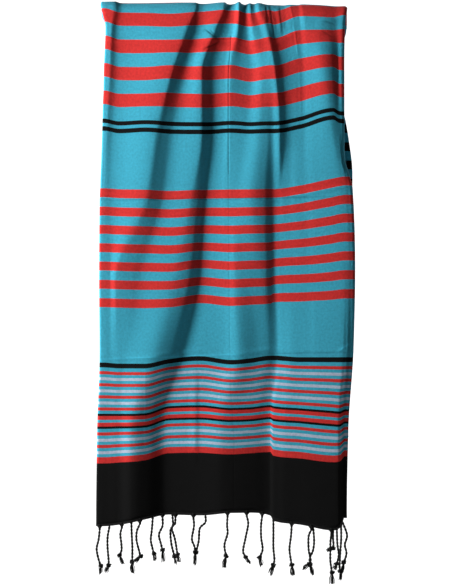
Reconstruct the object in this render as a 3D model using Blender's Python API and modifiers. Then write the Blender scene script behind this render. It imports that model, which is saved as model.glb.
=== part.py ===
"""A striped fouta towel, doubled over a thin bar that is not part of it.

The cloth is one woven sheet, 1.00 m by 1.84 m. Both long sides are turned in behind, so
that it hangs half as wide, and it is then laid over the bar: 1.01 m falls in front and
0.80 m behind. A twisted fringe hangs from each end. The sheet is lofted through its fold
lines, from crest to valley to crest, and then given its thickness. Metres, +Z up, +X to
the viewer's right, the front towards -Y. The origin is on the hang line, at mid width.
"""
import bisect
import math

import bmesh
import bpy
import numpy as np

MM = 0.001

CLOTH_LENGTH = 1.84
CLOTH_THICK = 1.5 * MM
FRONT_DROP = 0.999

BAR_RADIUS = 9.0 * MM
BAR_CLEAR = 2.25 * MM
LAYER_STEP = 5.0 * MM
INNER_RADIUS = BAR_RADIUS + BAR_CLEAR + CLOTH_THICK / 2
OUTER_RADIUS = INNER_RADIUS + LAYER_STEP
BEND_RADIUS = OUTER_RADIUS + 3.0 * MM
HANG_SLOPE = -0.017
HANG_SHIFT = -0.6 * MM

TURN_LEFT = 2.4 * MM
TURN_RIGHT = 6.0 * MM
TURN_STEPS = 4
FLAP_STEPS = 4
FLAP_REACH = 0.080
FLAP_HEM_RISE = 0.016
FLAP_WAVE = 1.5 * MM
SELVEDGE_X = -0.012
SELVEDGE_GAP = 0.012

BACK_FADE = 0.170
BACK_WAVE = 5.0 * MM
BACK_PITCH = 0.155
BACK_LEAN = 0.9

STRIP_GAP = 0.7 * MM
STRIP_HEIGHT = 4.0 * MM
NARROWEST = 0.5 * MM
STRAND_WIDTH = 3.4 * MM
KNOT_WIDTH = 6.4 * MM
BRUSH_WIDTH = 5.0 * MM
TIP_WIDTH = 3.0 * MM
STRAND_LEAN = 0.5 * MM
BACK_STRANDS_LEAF = 12
BACK_STRANDS_FLAP = 5
BACK_STRAND_LENGTH = 0.092
BACK_SWAY = 5.0 * MM

# The silhouette, mm: depth under the hang line, and the sides of the front and of the back.
OUTLINE = (
    # depth  left  right  left behind  right behind
    (0,     -244,   237,   -244,   237),
    (22,    -240,   236,   -243,   236),
    (50,    -234,   232,   -231,   230),
    (128,   -237,   230,   -231,   228),
    (175,   -238,   230,   -232,   229),
    (196,   -239,   230,   -232,   234),
    (237,   -240,   230,   -232,   241),
    (300,   -242,   230,   -233,   248),
    (326,   -243,   232,   -233,   248),
    (355,   -244,   240,   -233,   248),
    (380,   -245,   246,   -233,   247),
    (535,   -246,   251,   -233,   245),
    (675,   -245,   248,   -233,   243),
    (826,   -250,   238,   -233,   240),
    (999,   -252,   235,   -233,   238),
)

# The fold lines of the front, left to right, mm. x: where each runs at the depths of
# LINE_DEPTHS. stands: how far it stands forward there. parts: into how many strips the
# cloth between this line and the next is divided.
LINE_DEPTHS = (0, 50, 128, 244, 380, 535, 675, 826)
FOLD_LINES = (
    # name
    # x                                                  stands                                    parts
    ("side strip crest",
     (-214, -221, -224, -230, -234, -234, -234, -238),   (4, 5.5, 7, 9.5, 12, 14, 15, 14),         1),
    ("side strip valley",
     (-202, -210, -211, -218, -223, -225, -225, -229),   (1, 2.5, 4.5, 8, 11.5, 14, 15, 14),       4),
    ("long fold crest",
     (-74, -84, -104, -135, -157, -212, -210, -217),     (4.5, 12, 14.5, 16.5, 18.5, 17, 16, 14.4), 1),
    ("long fold valley",
     (-60, -62, -80, -103, -121, -163, -186, -204),      (2.2, 4, 5.5, 8.5, 10.5, 14, 17, 15),     2),
    ("left fold crest",
     (-14, -29, -49, -48, -71, -105, -142, -182),        (6, 9, 12, 12.5, 13, 16.5, 20.5, 19),     1),
    ("left fold valley",
     (0, -3, -23, -25, -43, -52, -80, -122),             (2, 2, 2.5, 2.5, 2.5, 3, 3, 2.5),         1),
    ("left fold far side",
     (12, 8, -5, -6, -18, -24, -50, -95),                (3.5, 3.5, 4, 4.5, 4.5, 5.5, 5.5, 4.5),   1),
    ("middle pleat crest",
     (23, 21, 8, 8, 2, -2, -4, -50),                     (7.5, 8, 6.5, 7, 7, 8, 8, 7),             1),
    ("middle pleat valley",
     (35, 39, 47, 38, 22, 19, 23, -10),                  (2, 2.5, 3, 7, 9, 11.5, 12, 11),          1),
    ("right fold crest",
     (47, 54, 70, 66, 50, 50, 60, 27),                   (5, 6.5, 7.5, 10.5, 12, 10, 6.5, 8),      1),
    ("right fold valley",
     (54, 66, 83, 90, 91, 93, 98, 84),                   (3.5, 6.4, 9, 8.3, 2.5, 1.5, 1, 1),       1),
    ("sharp pleat crest",
     (64, 79, 95, 104, 103, 104, 108, 92),               (6, 8.5, 10.5, 10.2, 3.5, 3, 2.5, 3),     2),
    ("sharp pleat valley",
     (112, 116, 126, 124, 122, 122, 126, 113),           (2, 3, 3.5, 4.5, 4.5, 4, 5, 5.5),         1),
    ("small pleat crest",
     (124, 126, 134, 136, 138, 144, 147, 144),           (3.6, 3.8, 3.6, 5, 5.5, 5, 6, 6.5),       1),
    ("small pleat valley",
     (138, 142, 147, 149, 153, 159, 159, 155),           (3.3, 3.8, 3.2, 5, 6, 5.5, 6.5, 7),       1),
    ("right panel near",
     (148, 153, 161, 167, 171, 175, 175, 171),           (4.5, 6, 5.5, 7.5, 7.5, 6.5, 7.5, 7.5),   2),
    ("right panel far",
     (178, 182, 188, 200, 222, 229, 226, 216),           (4, 6.5, 10, 11, 9.5, 8.5, 8.5, 8),       1),
    ("side crease",
     (217, 215, 216, 219, 231, 237, 235, 225),           (2, 2.5, 2.5, 7.5, 9, 8, 7, 5.5),         1),
)
# How far the leaf's left end and its right end stand forward at LINE_DEPTHS, mm.
SIDE_STANDS = ((3.4, 4.8, 6.3, 8.8, 11.6, 13.7, 14.6, 13.8),
               (2.5, 3, 4, 7, 8, 7, 4.5, 3))

# How far the weft has crept up (+) or down (-) from level, mm, at LIFT_X across the front.
LIFT_X = (-237, -206, -157, -109, -50, 10, 47, 86, 92, 144, 208, 219, 231)
LIFTS = (
    # depth   creep at the places of LIFT_X
    (35,     (5, -3, -4, -6, -2, 1, -5, 1, -1, 15, 13, 16, 18)),
    (135,    (3, -4, -5, -2, -4, -1, -7, -2, -2, 12, 21, 16, 15)),
    (242,    (1, -4, -2, -5, -6, -3, -5, -4, -4, 5, 22, 16, 15)),
    (355,    (-1, -3, -4, -6, -4, -3, -3, -2, -2, 5, 18.5, 20.5, 22)),
    (570,    (-1, -2, -3, -2, 6, 1, 3, 5, 8, 10, 14, 15.5, 16.5)),
    (695,    (-2, -4, -4, 5, 10, 3, 6, 11, 11, 8, 8, 8, 8)),
    (790,    (-4, -4, -3, 10, 12, 7, 8, 12, 10, 6, 1, 0, 4)),
    (880,    (-8, -6, -2, 11, 12, 9, 11, 13, 6, 1, -6, -5, 5)),
    (999,    (-8, -5, 5, 13, 12, 17, 17, 11, 1, -6, -17, -13, 9)),
)

# The strands of the front fringe, mm: which layer, where the root is, where the tip is.
FRONT_STRANDS = (
    # layer    root   tip   tip depth
    ("leaf",  -243,  -243,  1100),
    ("flap",  -226,  -228,  1102),
    ("leaf",  -203,  -203,  1083),
    ("flap",  -184,  -181,  1104),
    ("leaf",  -165,  -173,  1080),
    ("flap",  -143,  -141,  1080),
    ("leaf",  -122,  -122,  1082),
    ("flap",  -103,  -101,  1085),
    ("leaf",   -98,   -87,  1082),
    ("leaf",   -66,   -66,  1083),
    ("flap",   -41,   -53,  1085),
    ("leaf",     2,    -2,  1090),
    ("leaf",    40,    43,  1085),
    ("leaf",    70,    68,  1088),
    ("flap",    93,    86,  1108),
    ("leaf",   126,   132,  1106),
    ("leaf",   164,   150,  1097),
    ("flap",   167,   169,  1108),
    ("leaf",   204,   204,  1123),
    ("flap",   208,   206,  1080),
    ("leaf",   222,   221,  1114),
    ("flap",   224,   226,  1104),
)

# A strand from its root down, a cord, a knot and a brush: shares of its drop and its sway.
STRAND_RINGS = (
    # down  across  width
    (0.34,  0.10,   STRAND_WIDTH),
    (0.62,  0.45,   STRAND_WIDTH),
    (0.70,  0.60,   KNOT_WIDTH),
    (0.77,  0.75,   KNOT_WIDTH),
    (0.83,  0.85,   BRUSH_WIDTH),
    (1.00,  1.00,   TIP_WIDTH),
)

FRONT_ROWS = 23
BEND_ROWS = 10
BACK_ROWS = 12
BEND_LEAD = 0.018

TEAL = (0.045, 0.385, 0.510, 1.0)
BLACK = (0.012, 0.011, 0.010, 1.0)


def smooth_curve(knots, values, at):
    """A curve through the knots that never swings past them (monotone cubic)."""
    knots = np.asarray(knots, float)
    values = np.asarray(values, float)
    at = np.clip(np.asarray(at, float), knots[0], knots[-1])
    step = np.diff(knots)
    rate = np.diff(values) / step
    slope = np.zeros_like(values)
    same = rate[:-1] * rate[1:] > 0
    weight_a = 2 * step[1:] + step[:-1]
    weight_b = step[1:] + 2 * step[:-1]
    inner = np.zeros_like(weight_a)
    inner[same] = (weight_a + weight_b)[same] / (
        weight_a[same] / rate[:-1][same] + weight_b[same] / rate[1:][same])
    slope[1:-1] = inner
    i = np.clip(np.searchsorted(knots, at, side="right") - 1, 0, len(step) - 1)
    t = (at - knots[i]) / step[i]
    rise = values[i + 1] - values[i]
    return (values[i] + rise * t * t * (3 - 2 * t)
            + step[i] * t * (1 - t) * (slope[i] * (1 - t) - slope[i + 1] * t))


def smooth_step(t):
    t = min(max(t, 0.0), 1.0)
    return t * t * (3 - 2 * t)


def outline_at(column, depth):
    """A side of the silhouette, in metres, at a depth in metres."""
    depths = [row[0] * MM for row in OUTLINE]
    return float(smooth_curve(depths, [row[column] * MM for row in OUTLINE], depth))


def lift_at(x, depth):
    """How far the weft has crept at x, on the thread that level cloth has at depth."""
    rows = [smooth_curve(np.array(LIFT_X) * MM, np.array(row[1]) * MM, x) for row in LIFTS]
    return float(smooth_curve([row[0] * MM for row in LIFTS], rows, depth))


def bar_height(x):
    """The height of the bar's axis, which dips a little to the right."""
    return -OUTER_RADIUS + HANG_SHIFT + HANG_SLOPE * x


def fold_lines_at(depth):
    """The x and the relief of every fold line at one depth, the leaf's two ends included."""
    ends = (outline_at(1, depth) + TURN_LEFT + CLOTH_THICK / 2,
            outline_at(2, depth) - TURN_RIGHT - CLOTH_THICK / 2)
    xs = [smooth_curve(np.array(LINE_DEPTHS) * MM, np.array(line[1]) * MM, depth) for line in FOLD_LINES]
    stands = [SIDE_STANDS[0]] + [line[2] for line in FOLD_LINES] + [SIDE_STANDS[1]]
    relief = [smooth_curve(np.array(LINE_DEPTHS) * MM, np.array(row) * MM, depth) for row in stands]
    return [ends[0]] + [float(x) for x in xs] + [ends[1]], [float(h) for h in relief]


def leaf_stations():
    """Places across the leaf: a fold line's number and how far on towards the next."""
    parts = [1] + [line[3] for line in FOLD_LINES]
    stations = [(line, k / count) for line, count in enumerate(parts) for k in range(count)]
    return stations + [(len(parts) - 1, 1.0)]


def at_station(values, station):
    line, part = station
    return values[line] * (1 - part) + values[line + 1] * part


def back_relief(x, depth):
    """The soft waves of the half that hangs behind."""
    phase = x / BACK_PITCH + BACK_LEAN * depth
    return BACK_WAVE * (1 + math.sin(2 * math.pi * phase)) * smooth_step(depth / BACK_FADE)


def place(x, stand, radius, along):
    """A point of the cloth: across x, forward by stand, and along metres past the bend's start.

    Before the bend the cloth hangs in front, in the bend it goes round the bar, and past
    it the cloth hangs behind.
    """
    axis = bar_height(x)
    turned = min(max(along / BEND_RADIUS, 0.0), math.pi)
    hang = along if along < 0 else -max(along - math.pi * BEND_RADIUS, 0.0)
    reach = radius + stand
    return (x, -reach * math.cos(turned), axis + reach * math.sin(turned) + hang)


def cloth_row(thread):
    """The points of one weft thread, from selvedge to selvedge; thread is metres from the front hem."""
    depth = FRONT_DROP - thread

    def along(x, lift):
        return -depth + lift - bar_height(x)

    mid_along = along(0.0, lift_at(0.0, depth))
    behind = mid_along > math.pi * BEND_RADIUS
    hung = max(mid_along - math.pi * BEND_RADIUS, 0.0) if behind else max(depth, 0.0)
    front_depth = 0.0 if behind else hung
    xs, relief = fold_lines_at(front_depth)
    if behind:
        blend = smooth_step(hung / BACK_FADE)
        level = hung + OUTER_RADIUS - HANG_SHIFT
        left = outline_at(3, level) + TURN_LEFT + CLOTH_THICK / 2
        right = outline_at(4, level) - TURN_RIGHT - CLOTH_THICK / 2
        spread = (right - left) / (xs[-1] - xs[0])
        xs = [left + (x - xs[0]) * spread for x in xs]
        relief = [h * (1 - blend) + back_relief(x, hung) for x, h in zip(xs, relief)]

    def flap(side_x, side_lift, inner_x, x):
        away = smooth_step(abs(x - side_x) / FLAP_REACH)
        goal = FLAP_HEM_RISE * smooth_step(depth / FRONT_DROP) if depth > 0 else side_lift
        lift = side_lift + (goal - side_lift) * away
        wave = FLAP_WAVE * math.sin(math.pi * (x - side_x) / (inner_x - side_x)) ** 2
        return place(x, wave, INNER_RADIUS, along(x, lift))

    points = []
    sides = ((xs[0], relief[0], -1, TURN_LEFT, SELVEDGE_X - SELVEDGE_GAP / 2),
             (xs[-1], relief[-1], 1, TURN_RIGHT, SELVEDGE_X + SELVEDGE_GAP / 2))
    for side_x, stand, sign, round_x, inner_x in sides:
        side_lift = lift_at(side_x, depth)
        half = (OUTER_RADIUS + stand - INNER_RADIUS) / 2
        folded = [flap(side_x, side_lift, inner_x, inner_x + (side_x - inner_x) * k / FLAP_STEPS)
                  for k in range(FLAP_STEPS + 1)]
        for k in range(1, TURN_STEPS):
            angle = math.pi * k / TURN_STEPS
            out = side_x + sign * round_x * math.sin(angle)
            middle = INNER_RADIUS + half * (1 - math.cos(angle))
            folded.append(place(out, 0.0, middle, along(side_x, side_lift)))
        if sign < 0:
            points += folded
            for station in leaf_stations():
                x = at_station(xs, station)
                stand = at_station(relief, station)
                points.append(place(x, stand, OUTER_RADIUS, along(x, lift_at(x, depth))))
        else:
            points += folded[::-1]
    return points


def thread_rows():
    """The weft threads that the loft passes through, metres from the front hem."""
    bend = FRONT_DROP - OUTER_RADIUS - BEND_LEAD
    bend_end = FRONT_DROP - OUTER_RADIUS + math.pi * BEND_RADIUS + BEND_LEAD
    rows = [bend * k / FRONT_ROWS for k in range(FRONT_ROWS)]
    rows += [bend + (bend_end - bend) * k / BEND_ROWS for k in range(BEND_ROWS)]
    return rows + [bend_end + (CLOTH_LENGTH - bend_end) * k / BACK_ROWS for k in range(BACK_ROWS + 1)]


def material(name, colour, roughness):
    made = bpy.data.materials.new(name)
    made.use_nodes = True
    shader = made.node_tree.nodes["Principled BSDF"]
    shader.inputs["Base Color"].default_value = colour
    shader.inputs["Roughness"].default_value = roughness
    shader.inputs["Metallic"].default_value = 0.0
    made.diffuse_color = colour
    return made


def add_object(name, bm, collection, finish):
    mesh = bpy.data.meshes.new(name)
    bmesh.ops.recalc_face_normals(bm, faces=bm.faces[:])
    bm.to_mesh(mesh)
    bm.free()
    mesh.shade_smooth()
    made = bpy.data.objects.new(name, mesh)
    made.data.materials.append(finish)
    collection.objects.link(made)
    return made


def lofted_sheet(rows):
    """A grid sheet whose points are the given rows."""
    bm = bmesh.new()
    across = len(rows[0]) - 1
    down = len(rows) - 1
    bmesh.ops.create_grid(bm, x_segments=across, y_segments=down, size=0.5)
    for vert in bm.verts:
        column = round((vert.co.x + 0.5) * across)
        row = round((vert.co.y + 0.5) * down)
        vert.co = rows[row][column]
    return bm


def thicken(sheet):
    solid = sheet.modifiers.new("thickness", "SOLIDIFY")
    solid.thickness = CLOTH_THICK
    solid.offset = 0.0
    solid.use_even_offset = True
    return sheet


def make_cloth(collection):
    sheet = lofted_sheet([cloth_row(thread) for thread in thread_rows()])
    return thicken(add_object("cloth", sheet, collection, material("cloth", TEAL, 0.85)))


def nearest_on(path, x, layer):
    """How far along the hem the root at x lies, on the leaf or on the flap of that side."""
    first = FLAP_STEPS + TURN_STEPS
    last = len(path) - 1 - first
    if layer == "leaf":
        span = range(first, last)
    elif x < SELVEDGE_X:
        span = range(0, FLAP_STEPS)
    else:
        span = range(len(path) - 1 - FLAP_STEPS, len(path) - 1)
    for k in span:
        low, high = sorted((path[k][0], path[k + 1][0]))
        if low <= x <= high:
            return k + (x - path[k][0]) / (path[k + 1][0] - path[k][0])
    raise ValueError(f"no hem at {x}")


def on_path(path, where):
    k = min(int(where), len(path) - 2)
    part = where - k
    return [a * (1 - part) + b * part for a, b in zip(path[k], path[k + 1])]


def strip_stations(path, roots):
    """The corners of the strip: the hem's own, and both sides of each root."""
    edges = []
    for root in roots:
        k = int(root)
        pace = math.dist(path[k], path[k + 1])
        half = STRAND_WIDTH / 2 / pace
        edges += [root - half, root + half]
    edges.sort()
    stations = list(edges)
    for k in range(len(path)):
        here = bisect.bisect(edges, k)
        near = [abs(edge - k) * math.dist(path[max(k - 1, 0)], path[max(k, 1)]) for edge in edges]
        if here % 2 == 0 and min(near) > NARROWEST:
            stations.append(float(k))
    return sorted(stations)


def strand_rings(root, tip, layer_sign):
    """The centre and the width of each ring of a strand under its root."""
    drop = root[2] - tip[2]
    for down, across, width in STRAND_RINGS:
        x = root[0] + (tip[0] - root[0]) * across
        yield (x, root[1] + layer_sign * STRAND_LEAN * down, root[2] - drop * down), width


def below(path, gap):
    """The line that runs a gap under a hem, measured square to the hem's slope."""
    made = []
    for k, here in enumerate(path):
        before = path[max(k - 1, 0)]
        after = path[min(k + 1, len(path) - 1)]
        slant = math.dist(before, after) / math.dist(before[:2], after[:2])
        made.append((here[0], here[1], here[2] - gap * slant))
    return made


def make_fringe(name, path, strands, collection, finish):
    """A narrow strip under a hem, and the strands that hang from it."""
    lowered = below(path, STRIP_GAP)
    roots = [nearest_on(lowered, x, layer) for layer, x, tip_x, tip_z in strands]
    stations = strip_stations(lowered, roots)
    top = [on_path(lowered, where) for where in stations]
    foot = [(p[0], p[1], p[2] - STRIP_HEIGHT) for p in top]
    sheet = thicken(add_object("strip", lofted_sheet([top, foot]), collection, finish))
    bpy.context.view_layer.update()
    evaluated = sheet.evaluated_get(bpy.context.evaluated_depsgraph_get())
    bm = bmesh.new()
    bm.from_mesh(evaluated.to_mesh())
    evaluated.to_mesh_clear()
    bpy.data.objects.remove(sheet)
    bm.faces.ensure_lookup_table()
    undersides = [face for face in bm.faces if face.normal.z < -0.7]
    for root, (layer, x, tip_x, tip_z) in zip(roots, strands):
        start = on_path(lowered, root)
        start[2] -= STRIP_HEIGHT
        face = min(undersides, key=lambda f: math.dist(f.calc_center_median(), start))
        undersides.remove(face)
        side = 1 if layer == "flap" else -1
        centre = start
        for ring, width in strand_rings(start, (tip_x, start[1], tip_z), side):
            made = bmesh.ops.extrude_discrete_faces(bm, faces=[face])["faces"]
            face = made[0]
            corners = [(-1, -1), (-1, 1), (1, -1), (1, 1)]
            taken = sorted(face.verts, key=lambda v: math.atan2(v.co.y - centre[1], v.co.x - centre[0]))
            corners.sort(key=lambda c: math.atan2(c[1], c[0]))
            for vert, (dx, dy) in zip(taken, corners):
                vert.co = (ring[0] + dx * width / 2, ring[1] + dy * width / 2, ring[2])
            centre = ring
    return add_object(name, bm, collection, finish)


def front_strands():
    return [(layer, root * MM, tip * MM, -depth * MM) for layer, root, tip, depth in FRONT_STRANDS]


def back_strands(path):
    """Evenly spaced strands for the end that hangs out of sight."""
    first = FLAP_STEPS + TURN_STEPS
    left = path[first][0]
    right = path[-1 - first][0]
    leaf = [left + (right - left) * (k + 0.5) / BACK_STRANDS_LEAF for k in range(BACK_STRANDS_LEAF)]
    flaps = [(left, SELVEDGE_X - SELVEDGE_GAP), (SELVEDGE_X + SELVEDGE_GAP, right)]
    strands = [("leaf", x) for x in leaf]
    for low, high in flaps:
        strands += [("flap", low + (high - low) * (k + 0.9) / (BACK_STRANDS_FLAP + 0.8))
                    for k in range(BACK_STRANDS_FLAP)]
    hem = path[first][2]
    made = []
    for k, (layer, x) in enumerate(strands):
        sway = BACK_SWAY * math.sin(2.4 * k)
        made.append((layer, x, x + sway, hem - BACK_STRAND_LENGTH - 2 * sway))
    return made


def main():
    for old in list(bpy.data.objects):
        bpy.data.objects.remove(old)
    collection = bpy.data.collections.new("fouta_towel")
    bpy.context.scene.collection.children.link(collection)
    make_cloth(collection)
    yarn = material("fringe", BLACK, 0.8)
    front_hem = cloth_row(0.0)
    back_hem = cloth_row(CLOTH_LENGTH)
    make_fringe("fringe_front", front_hem, front_strands(), collection, yarn)
    make_fringe("fringe_back", back_hem, back_strands(back_hem), collection, yarn)


main()
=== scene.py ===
"""The look of a striped fouta towel that hangs doubled over an unseen bar.

The cloth is a fine sheet on the folds of its solid, with stripes, weave and creases, and
each end has a fringe of two-ply cords with knots and brushes. Metres, +Z up, +X to the
viewer's right, the front towards -Y. The origin is on the hang line, at mid width.
"""

import math
import random

import bpy
import numpy as np
from mathutils import Euler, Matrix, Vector


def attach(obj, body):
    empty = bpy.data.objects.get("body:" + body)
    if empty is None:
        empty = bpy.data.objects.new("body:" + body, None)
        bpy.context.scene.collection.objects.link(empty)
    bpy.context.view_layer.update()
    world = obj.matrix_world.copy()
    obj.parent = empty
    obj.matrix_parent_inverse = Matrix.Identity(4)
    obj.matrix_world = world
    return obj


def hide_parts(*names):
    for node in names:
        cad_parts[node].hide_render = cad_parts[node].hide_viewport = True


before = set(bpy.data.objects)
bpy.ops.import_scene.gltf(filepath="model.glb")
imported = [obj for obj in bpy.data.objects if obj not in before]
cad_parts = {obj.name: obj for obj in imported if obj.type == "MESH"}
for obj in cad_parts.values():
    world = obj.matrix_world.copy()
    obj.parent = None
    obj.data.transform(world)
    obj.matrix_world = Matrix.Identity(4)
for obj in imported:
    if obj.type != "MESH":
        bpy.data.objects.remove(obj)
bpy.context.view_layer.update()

MM = 0.001

# The photograph's frame, the real size of one of its pixels, and where the origin lies in it.
FRAME_WIDE = 452
FRAME_HIGH = 584
PIXEL = 1.94 * MM
HANG_LINE_ROW = 4
MID_COLUMN = 226
CAMERA_AWAY = 3.4
SENSOR = 24.0

# The stage: a floor that sweeps up into a wall, and how bright it glows from front to back.
FLOOR_Z = -1.9
FLOOR_REACH = 6.0
WALL_Y = 4.2
WALL_TOP = 4.0
SWEEP = 0.6
SWEEP_STEPS = 12
STAGE_GREY = 0.5
STAGE_ROUGHNESS = 0.9
FLOOR_GLOW = 0.05
WALL_GLOW = 0.85
GLOW_START_Y = 0.2
WORLD_LIGHT = 0.03
LAMPS = (
    # name     where                  aims at             metres  watts
    ("key",    (-3.06, -0.94, 0.10),  (0.0, 0.0, 1.90),   1.10,   318.0),
    ("fill",   (0.8, -3.2, -0.2),     (0.0, 0.0, -0.55),  1.6,    2.0),
    ("behind", (1.2, 1.1, 0.9),       (0.0, 0.0, -0.45),  0.8,    10.0),
)

# The cloth's size, the bar it hangs over, and the bends that its layers make round the bar.
CLOTH_WIDTH = 1.00
CLOTH_LENGTH = 1.84
CLOTH_THICK = 1.0 * MM
SOLID_THICK = 1.5 * MM
FRONT_DROP = 0.999
BAR_RADIUS = 9.0 * MM
BAR_CLEAR = 2.25 * MM
LAYER_STEP = 5.0 * MM
INNER_RADIUS = BAR_RADIUS + BAR_CLEAR + SOLID_THICK / 2
OUTER_RADIUS = INNER_RADIUS + LAYER_STEP
BEND_RADIUS = OUTER_RADIUS + 3.0 * MM
HANG_SLOPE = -0.017
HANG_SHIFT = -0.6 * MM

# The sides turned in behind, the selvedges that meet there, and the waves of the back half.
TURN_LEFT = 2.4 * MM
TURN_RIGHT = 6.0 * MM
FLAP_REACH = 0.080
FLAP_HEM_RISE = 0.016
FLAP_WAVE = 1.5 * MM
SELVEDGE_X = -0.012
SELVEDGE_GAP = 0.012
BACK_FADE = 0.170
BACK_WAVE = 5.0 * MM
BACK_PITCH = 0.155
BACK_LEAN = 0.9

# The silhouette, mm: depth under the hang line, and the sides of the front and of the back.
OUTLINE = (
    # depth  left  right  left behind  right behind
    (0,     -244,   237,   -244,   237),
    (22,    -240,   236,   -243,   236),
    (50,    -234,   232,   -231,   230),
    (128,   -237,   230,   -231,   228),
    (175,   -238,   230,   -232,   229),
    (196,   -239,   230,   -232,   234),
    (237,   -240,   230,   -232,   241),
    (300,   -242,   230,   -233,   248),
    (326,   -243,   232,   -233,   248),
    (355,   -244,   240,   -233,   248),
    (380,   -245,   246,   -233,   247),
    (535,   -246,   251,   -233,   245),
    (675,   -245,   248,   -233,   243),
    (826,   -250,   238,   -233,   240),
    (999,   -252,   235,   -233,   238),
)

# The fold lines of the front, left to right, mm. x: where each runs at the depths of
# LINE_DEPTHS. stands: how far it stands forward there. columns: how many columns of faces lie
# between this line and the next.
LINE_DEPTHS = (0, 50, 128, 244, 380, 535, 675, 826)
FOLD_LINES = (
    # name
    # x                                                  stands                                    columns
    ("side strip crest",
     (-214, -221, -224, -230, -234, -234, -234, -238),   (4, 5.5, 7, 9.5, 12, 14, 15, 14),         4),
    ("side strip valley",
     (-202, -210, -211, -218, -223, -225, -225, -229),   (1, 2.5, 4.5, 8, 11.5, 14, 15, 14),       20),
    ("long fold crest",
     (-59, -77, -104, -135, -157, -212, -210, -217),     (4.5, 12, 14.5, 16.5, 18.5, 17, 16, 14.4), 9),
    ("long fold valley",
     (-46, -57, -80, -103, -121, -163, -186, -204),      (2.2, 4, 5.5, 8.5, 10.5, 14, 17, 15),     12),
    ("left fold crest",
     (-2, -21, -47, -48, -71, -105, -142, -182),         (6, 9, 12, 12.5, 13, 16.5, 20.5, 19),     10),
    ("left fold valley",
     (8, 3, -22, -25, -43, -52, -80, -122),              (2, 2, 2.5, 2.5, 2.5, 3, 3, 2.5),         6),
    ("left fold far side",
     (17, 12, -4, -6, -18, -24, -50, -95),               (3.5, 3.5, 4, 4.5, 4.5, 5.5, 5.5, 4.5),   7),
    ("middle pleat crest",
     (26, 23, 9, 8, 2, -2, -4, -50),                     (7.5, 8, 6.5, 7, 7, 8, 8, 7),             6),
    ("middle pleat valley",
     (37, 40, 47, 38, 22, 19, 23, -10),                  (2, 2.5, 3, 7, 9, 11.5, 12, 11),          7),
    ("right fold crest",
     (47, 54, 70, 66, 50, 50, 60, 27),                   (5, 6.5, 7.5, 10.5, 12, 10, 6.5, 8),      12),
    ("right fold valley",
     (54, 66, 83, 90, 91, 93, 98, 84),                   (3.5, 6.4, 9, 8.3, 2.5, 1.5, 1, 1),       8),
    ("sharp pleat crest",
     (64, 79, 95, 104, 103, 104, 108, 92),               (6, 8.5, 10.5, 10.2, 3.5, 3, 2.5, 3),     8),
    ("sharp pleat valley",
     (112, 116, 126, 124, 122, 122, 126, 113),           (2, 3, 3.5, 4.5, 4.5, 4, 5, 5.5),         5),
    ("small pleat crest",
     (124, 126, 134, 136, 138, 144, 147, 144),           (3.6, 3.8, 3.6, 5, 5.5, 5, 6, 6.5),       8),
    ("small pleat valley",
     (138, 142, 147, 149, 153, 159, 159, 155),           (3.3, 3.8, 3.2, 5, 6, 5.5, 6.5, 7),       8),
    ("right panel near",
     (148, 153, 161, 167, 171, 175, 175, 171),           (4.5, 6, 5.5, 7.5, 7.5, 6.5, 7.5, 7.5),   10),
    ("right panel far",
     (178, 182, 188, 200, 222, 229, 226, 216),           (4, 6.5, 10, 11, 9.5, 8.5, 8.5, 8),       6),
    ("side crease",
     (217, 215, 216, 219, 231, 237, 235, 225),           (2, 2.5, 2.5, 7.5, 9, 8, 7, 5.5),         5),
)
# How far the leaf's left end and its right end stand forward at LINE_DEPTHS, mm.
SIDE_STANDS = ((3.4, 4.8, 6.3, 8.8, 11.6, 13.7, 14.6, 13.8),
               (2.5, 3, 4, 7, 8, 7, 4.5, 3))

# How the cloth falls to the right of a line: steep at first (+1), evenly (0) or steep at last
# (-1), at the depths of LINE_DEPTHS.
FALLS = {
    "side strip crest": (0.8, 0.8, 0.8, 0.5, 0, 0, 0, 0),
    "long fold crest": (1, 0.9, 0.6, 0.2, 0, -0.4, -1, -1),
    "left fold crest": (1, 1, 0.9, 0.3, -0.8, -1, -0.6, -0.4),
    "middle pleat crest": (0.8, 0.8, 0.5, 0, 0, 0, 0, 0),
    "right fold crest": (0.5, 0, 0, -0.7, -0.8, -1, -0.4, 0),
    "sharp pleat crest": (1.4, 1.6, 1.6, 1.4, 1, 0, 0, 0),
    "right panel far": (0, -0.5, -0.8, -0.5, 0, 0, 0, 0),
}
# A fall's middle point: its share of the way across and of the height left, for an even fall,
# and how much less each is for a fall that is steep at first.
FALL_REACH = (0.5, 0.12)
FALL_REST = (0.5, 0.22)

# Columns of faces at the leaf's left end, in the turn of a side, and on the flap behind.
FIRST_COLUMNS = 4
TURN_COLUMNS = 8
FLAP_COLUMNS = 9

# How far the weft has crept up (+) or down (-) from level, mm, at LIFT_X across the front.
LIFT_X = (-237, -206, -157, -109, -50, 10, 47, 86, 92, 144, 208, 219, 231)
LIFTS = (
    # depth   creep at the places of LIFT_X
    (35,     (5, -3, -4, -6, -2, 1, -5, 1, -1, 15, 13, 16, 18)),
    (135,    (3, -4, -5, -2, -4, -1, -7, -2, -2, 12, 21, 16, 15)),
    (242,    (1, -4, -2, -5, -6, -3, -5, -4, -4, 5, 22, 16, 15)),
    (355,    (-1, -3, -4, -6, -4, -3, -3, -2, -2, 5, 18.5, 20.5, 22)),
    (570,    (-1, -2, -3, -2, 6, 1, 3, 5, 8, 10, 14, 15.5, 16.5)),
    (695,    (-2, -4, -4, 5, 10, 3, 6, 11, 11, 8, 8, 8, 8)),
    (790,    (-4, -4, -3, 10, 12, 7, 8, 12, 10, 6, 1, 0, 4)),
    (880,    (-8, -6, -2, 11, 12, 9, 11, 13, 6, 1, -6, -5, 5)),
    (999,    (-8, -5, 5, 13, 12, 17, 17, 11, 1, -6, -17, -13, 9)),
)

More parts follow.
